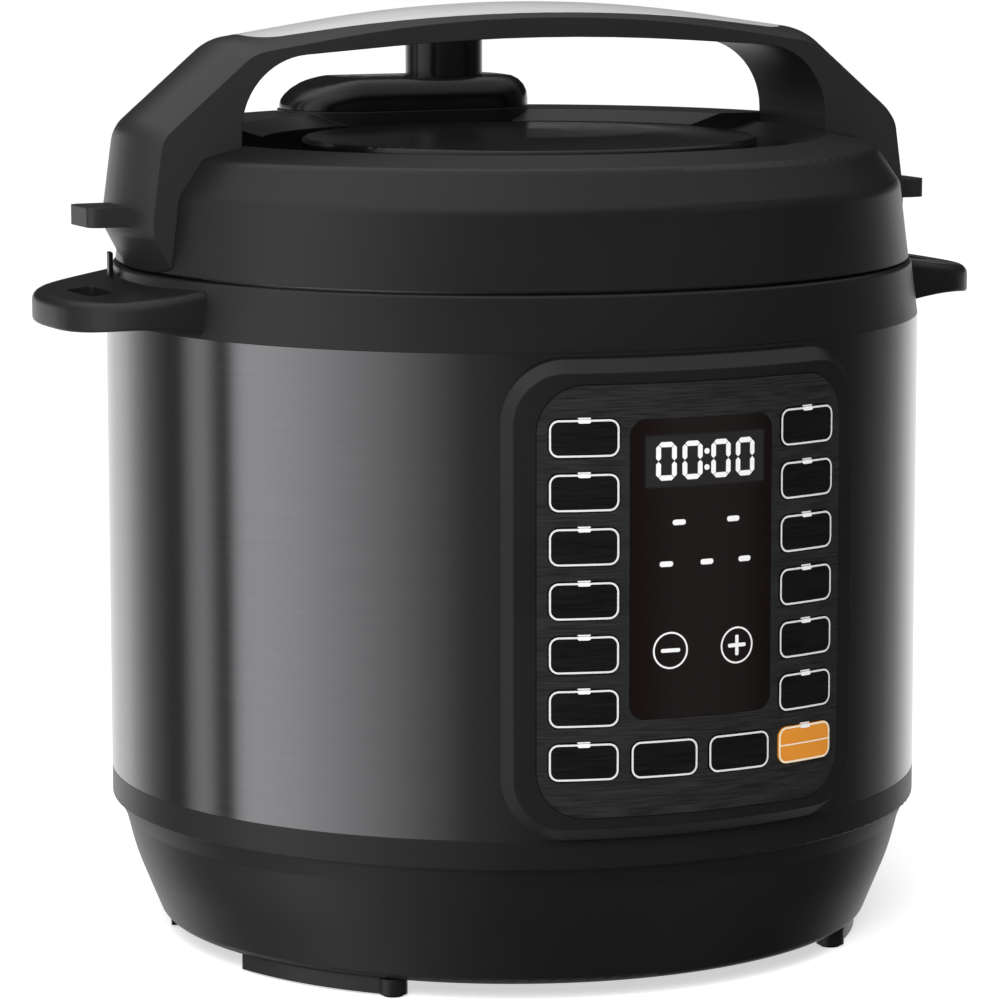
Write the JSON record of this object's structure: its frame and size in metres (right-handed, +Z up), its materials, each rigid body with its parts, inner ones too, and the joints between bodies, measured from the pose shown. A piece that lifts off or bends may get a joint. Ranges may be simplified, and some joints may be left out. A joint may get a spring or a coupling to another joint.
{
  "type": "electric pressure cooker",
  "caption": "Round countertop electric pressure cooker: steel shell, curved key panel with display, bayonet lid with arched handle and steam valve, slotted side handles.",
  "frame": {"origin": "centre of the plane that the feet stand on, on the cooker's axis", "axes": "+Z up along the cooker's axis, -Y towards the front with the key panel, +X to the right of someone facing it"},
  "size_m": [0.326, 0.2899, 0.3101],
  "materials": {
    "black_plastic": "fine moulded texture, satin",
    "black_steel": "black stainless, fine horizontal brushing",
    "stainless_steel": "brushed stainless",
    "cast_aluminium": "as cast and turned",
    "silver_trim": "satin metallised strip",
    "rubber": "plain",
    "silicone": "translucent white silicone",
    "brushed_face": "horizontally brushed black film",
    "smoked_window": "gloss smoked lens",
    "black_key": "satin with a printed outline",
    "orange_key": "satin orange with a printed outline",
    "circuit_board": "solder-masked laminate",
    "dark_resin": "moulded resin",
    "contact_brass": "plated",
    "clear_cup": "smoky moulding"
  },
  "bodies": {
    "base": {"base_bowl": "black_plastic", "foot_pads": "rubber", "bottom_cover": "black_plastic", "cover_screws": "stainless_steel", "lower_ring": "black_plastic", "outer_shell": "black_steel", "upper_collar": "black_plastic", "side_handle_left": "black_plastic", "side_handle_right": "black_plastic", "outer_pot": "stainless_steel", "inner_pot": "stainless_steel", "heating_plate": "cast_aluminium", "sensor_cradle": "stainless_steel", "sensor_spring": "stainless_steel", "pressure_switch": "dark_resin", "thermal_fuse": "dark_resin", "power_board": "circuit_board", "power_inlet": "black_plastic", "inlet_pins": "contact_brass", "panel_housing": "black_plastic", "face_plate": "brushed_face", "display_window": "smoked_window", "control_board": "circuit_board", "display_module": "dark_resin", "cup_bracket": "black_plastic"},
    "lid_seal": {"sealing_ring": "silicone", "ring_rack": "stainless_steel"},
    "lid": {"lid_cover": "black_plastic", "lid_dome": "black_plastic", "lid_handle": "black_plastic", "handle_trim": "silver_trim", "pressure_lid": "stainless_steel", "lid_screws": "stainless_steel", "valve_cover": "black_plastic", "vent_pipe": "stainless_steel", "vent_shield": "stainless_steel", "knob_spring": "stainless_steel"},
    "steam_knob": {"steam_knob": "black_plastic"},
    "float_valve": {"float_pin": "stainless_steel", "float_seal": "silicone"},
    "temperature_sensor": {"temperature_sensor": "cast_aluminium"},
    "condensation_cup": {"condensation_cup": "clear_cup"},
    "key_left_1": {"key_left_1": "black_key"},
    "key_left_2": {"key_left_2": "black_key"},
    "key_left_3": {"key_left_3": "black_key"},
    "key_left_4": {"key_left_4": "black_key"},
    "key_left_5": {"key_left_5": "black_key"},
    "key_left_6": {"key_left_6": "black_key"},
    "key_left_7": {"key_left_7": "black_key"},
    "key_right_1": {"key_right_1": "black_key"},
    "key_right_2": {"key_right_2": "black_key"},
    "key_right_3": {"key_right_3": "black_key"},
    "key_right_4": {"key_right_4": "black_key"},
    "key_right_5": {"key_right_5": "black_key"},
    "key_right_6": {"key_right_6": "black_key"},
    "key_cancel": {"key_cancel": "orange_key"},
    "key_bottom_left": {"key_bottom_left": "black_key"},
    "key_bottom_right": {"key_bottom_right": "black_key"}
  },
  "joints": [
    {"name": "lid_lift", "type": "slide", "parent": "base", "child": "lid_seal", "axis": [0, 0, 1], "range_m": [0, 0.25]},
    {"name": "lid_turn", "type": "hinge", "parent": "lid_seal", "child": "lid", "pos_m": [0, 0, 0.22], "axis": [0, 0, 1], "range_deg": [-22.5, 0]},
    {"name": "knob_press", "type": "slide", "parent": "lid", "child": "steam_knob", "axis": [0, 0, -1], "range_m": [0, 0.003], "stiffness_N_per_m": 800, "deforming": ["knob_spring"]},
    {"name": "float_rise", "type": "slide", "parent": "lid", "child": "float_valve", "axis": [0, 0, 1], "range_m": [0, 0.004]},
    {"name": "sensor_press", "type": "slide", "parent": "base", "child": "temperature_sensor", "axis": [0, 0, -1], "range_m": [0, 0.002], "stiffness_N_per_m": 600, "deforming": ["sensor_spring"]},
    {"name": "cup_pull", "type": "slide", "parent": "base", "child": "condensation_cup", "axis": [0, 1, 0], "range_m": [0, 0.06]},
    {"name": "key_left_1_press", "type": "slide", "parent": "base", "child": "key_left_1", "axis": [0.2691, 0.9631, 0], "range_m": [0, 0.0005], "stiffness_N_per_m": 600},
    {"name": "key_left_2_press", "type": "slide", "parent": "base", "child": "key_left_2", "axis": [0.2691, 0.9631, 0], "range_m": [0, 0.0005], "stiffness_N_per_m": 600},
    {"name": "key_left_3_press", "type": "slide", "parent": "base", "child": "key_left_3", "axis": [0.2691, 0.9631, 0], "range_m": [0, 0.0005], "stiffness_N_per_m": 600},
    {"name": "key_left_4_press", "type": "slide", "parent": "base", "child": "key_left_4", "axis": [0.2691, 0.9631, 0], "range_m": [0, 0.0005], "stiffness_N_per_m": 600},
    {"name": "key_left_5_press", "type": "slide", "parent": "base", "child": "key_left_5", "axis": [0.2691, 0.9631, 0], "range_m": [0, 0.0005], "stiffness_N_per_m": 600},
    {"name": "key_left_6_press", "type": "slide", "parent": "base", "child": "key_left_6", "axis": [0.2691, 0.9631, 0], "range_m": [0, 0.0005], "stiffness_N_per_m": 600},
    {"name": "key_left_7_press", "type": "slide", "parent": "base", "child": "key_left_7", "axis": [0.2691, 0.9631, 0], "range_m": [0, 0.0005], "stiffness_N_per_m": 600},
    {"name": "key_right_1_press", "type": "slide", "parent": "base", "child": "key_right_1", "axis": [-0.2691, 0.9631, 0], "range_m": [0, 0.0005], "stiffness_N_per_m": 600},
    {"name": "key_right_2_press", "type": "slide", "parent": "base", "child": "key_right_2", "axis": [-0.2691, 0.9631, 0], "range_m": [0, 0.0005], "stiffness_N_per_m": 600},
    {"name": "key_right_3_press", "type": "slide", "parent": "base", "child": "key_right_3", "axis": [-0.2691, 0.9631, 0], "range_m": [0, 0.0005], "stiffness_N_per_m": 600},
    {"name": "key_right_4_press", "type": "slide", "parent": "base", "child": "key_right_4", "axis": [-0.2691, 0.9631, 0], "range_m": [0, 0.0005], "stiffness_N_per_m": 600},
    {"name": "key_right_5_press", "type": "slide", "parent": "base", "child": "key_right_5", "axis": [-0.2691, 0.9631, 0], "range_m": [0, 0.0005], "stiffness_N_per_m": 600},
    {"name": "key_right_6_press", "type": "slide", "parent": "base", "child": "key_right_6", "axis": [-0.2691, 0.9631, 0], "range_m": [0, 0.0005], "stiffness_N_per_m": 600},
    {"name": "key_cancel_press", "type": "slide", "parent": "base", "child": "key_cancel", "axis": [-0.2691, 0.9631, 0], "range_m": [0, 0.0005], "stiffness_N_per_m": 600},
    {"name": "key_bottom_left_press", "type": "slide", "parent": "base", "child": "key_bottom_left", "axis": [0.0907, 0.9959, 0], "range_m": [0, 0.0005], "stiffness_N_per_m": 600},
    {"name": "key_bottom_right_press", "type": "slide", "parent": "base", "child": "key_bottom_right", "axis": [-0.0907, 0.9959, 0], "range_m": [0, 0.0005], "stiffness_N_per_m": 600}
  ]
}
